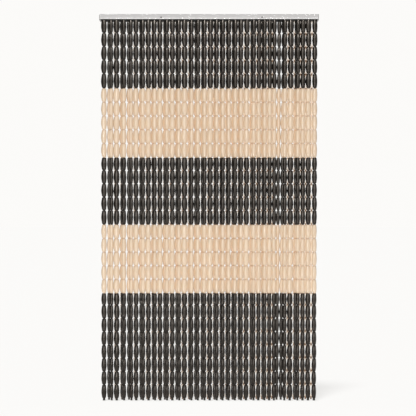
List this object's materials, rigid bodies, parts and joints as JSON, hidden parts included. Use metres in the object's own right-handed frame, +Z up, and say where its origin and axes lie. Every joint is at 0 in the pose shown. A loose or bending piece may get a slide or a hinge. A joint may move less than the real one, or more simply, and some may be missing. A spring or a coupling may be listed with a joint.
{
  "type": "pvc strip curtain with rail",
  "caption": "Door curtain of long hanging strands of spindle-shaped PVC links in black and beige bands, on an aluminium rail screwed over a doorway.",
  "frame": {"origin": "centre of the rail's back face, which lies on the wall over the doorway", "axes": "+X to the right as seen from the room, +Y into the wall, +Z up; the strands hang towards -Z"},
  "size_m": [1.2, 0.0679, 2.112],
  "materials": {
    "rail_aluminium": "satin",
    "cap_plastic": "matte",
    "screw_steel": "dark",
    "black_pvc": "satin gloss",
    "beige_pvc": "satin gloss",
    "strip_plastic": "matte"
  },
  "bodies": {
    "root": {"rail": "rail_aluminium", "end_cap_left": "cap_plastic", "end_cap_right": "cap_plastic", "screw_left": "screw_steel", "screw_right": "screw_steel", "strands_front_left": "black_pvc", "strands_front_right": "black_pvc", "strands_middle": "black_pvc", "strands_back": "beige_pvc"}
  },
  "joints": []
}
